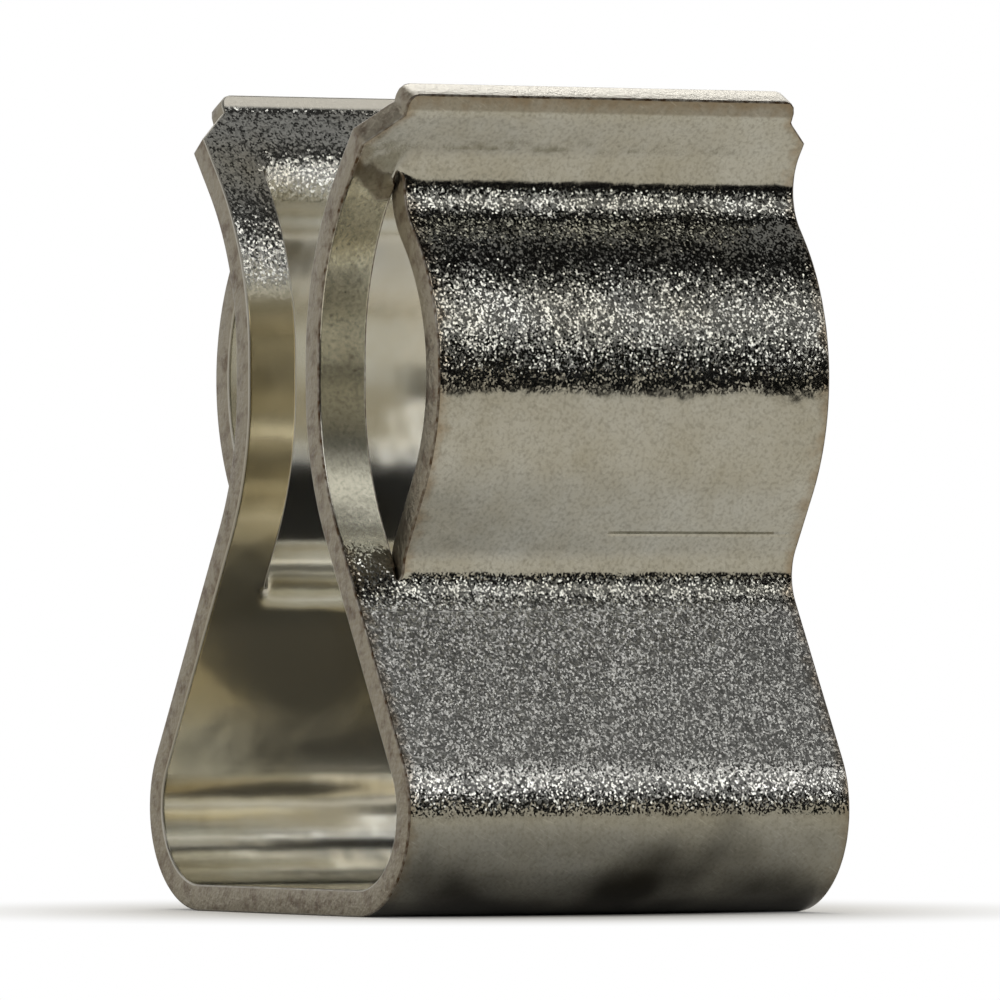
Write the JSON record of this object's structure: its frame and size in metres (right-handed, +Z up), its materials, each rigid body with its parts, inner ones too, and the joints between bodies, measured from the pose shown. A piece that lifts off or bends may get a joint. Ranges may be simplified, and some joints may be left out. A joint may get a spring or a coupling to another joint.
{
  "type": "fuse clip",
  "caption": "Folded sheet-metal clip that grips one end cap of a round cartridge fuse between sprung walls, with flared lips, bowed end stops and a rivet hole in its flat base.",
  "frame": {"origin": "centre of the underside of the flat base", "axes": "+X along the fuse, away from the end stops; +Z up, out of the mouth; the walls stand at -Y and +Y"},
  "size_m": [0.0078, 0.0082, 0.0127],
  "materials": {
    "plated_sheet": "bright tumbled tin plate over spring brass"
  },
  "bodies": {
    "root": {"fuse_clip": "plated_sheet"}
  },
  "joints": []
}
